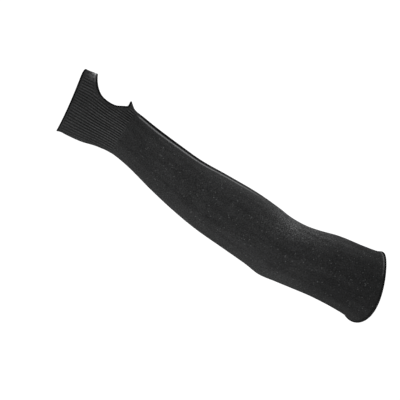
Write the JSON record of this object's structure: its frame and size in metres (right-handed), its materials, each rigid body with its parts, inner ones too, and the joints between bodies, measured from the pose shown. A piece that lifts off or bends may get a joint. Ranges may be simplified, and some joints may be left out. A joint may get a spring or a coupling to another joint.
{
  "type": "compression arm sleeve",
  "caption": "Tubular knitted arm sleeve with a ribbed hand cuff and a thumb hole, in the form it takes on a slightly bent arm.",
  "frame": {"origin": "middle of the upper arm opening, at the outer edge of its hem", "axes": "+X from the hand end to the upper arm end, +Z towards the thumb side, -Y the palm side"},
  "size_m": [0.5078, 0.124, 0.1161],
  "materials": {
    "plain_knit": "matt charcoal plain knit",
    "rib_knit": "matt charcoal rib knit",
    "rolled_edge": "matt black tight knit edge"
  },
  "bodies": {
    "root": {"sleeve_body": "plain_knit", "hand_cuff": "rib_knit", "hand_hem": "rolled_edge", "thumb_binding": "rolled_edge", "arm_hem": "rolled_edge"}
  },
  "joints": []
}
